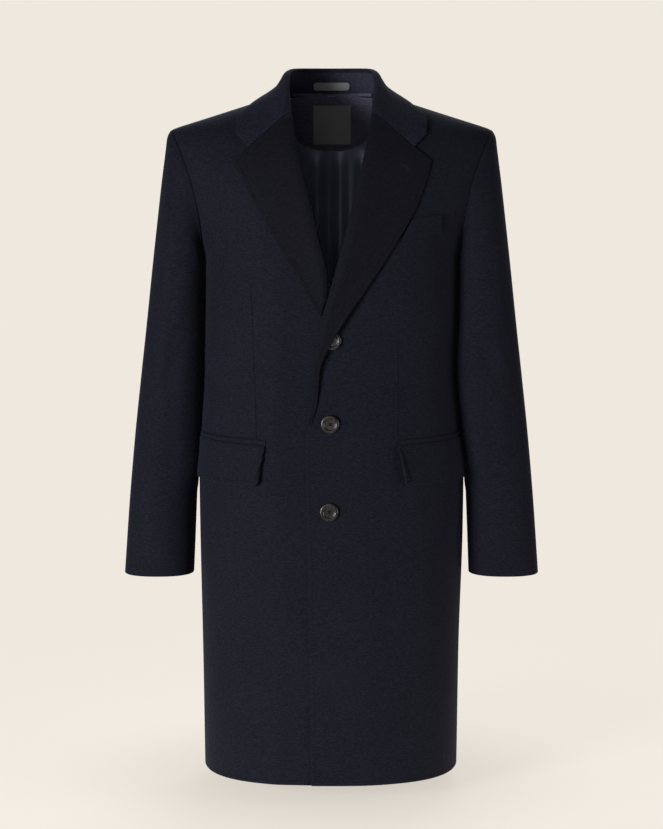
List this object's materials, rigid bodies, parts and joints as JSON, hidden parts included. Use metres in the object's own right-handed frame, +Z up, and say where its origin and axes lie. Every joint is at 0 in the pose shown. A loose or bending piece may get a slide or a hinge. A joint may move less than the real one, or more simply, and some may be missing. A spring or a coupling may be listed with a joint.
{
  "type": "wool overcoat",
  "caption": "Hollow worn single-breasted wool overcoat with notch lapels, flap pockets, breast welt, horn buttons and plain cuffs.",
  "frame": {"origin": "centre of the neck at the height of the back neck seam, where the wearer's neck and shoulders hold the coat", "axes": "+Z up, the front of the coat faces -Y, +X towards the wearer's left"},
  "size_m": [0.597, 0.315, 1.0072],
  "materials": {
    "wool": "brushed navy wool with a short nap and a soft sheen",
    "lining": "dark navy satin lining",
    "tape": "plain charcoal woven label tape, blank",
    "horn": "polished dark horn"
  },
  "bodies": {
    "root": {"front_left": "wool", "front_right": "wool", "back_left": "wool", "back_right": "wool", "lapel_left": "wool", "lapel_right": "wool", "collar_leaf": "wool", "collar_stand": "wool", "sleeve_top_left": "wool", "sleeve_top_right": "wool", "sleeve_under_left": "wool", "sleeve_under_right": "wool", "flap_left": "wool", "flap_right": "wool", "jet_left": "wool", "jet_right": "wool", "breast_welt": "wool", "neck_facing": "wool", "back_lining": "lining", "neck_label": "tape", "neck_tab": "tape", "button_1": "horn", "button_2": "horn", "button_3": "horn"}
  },
  "joints": []
}
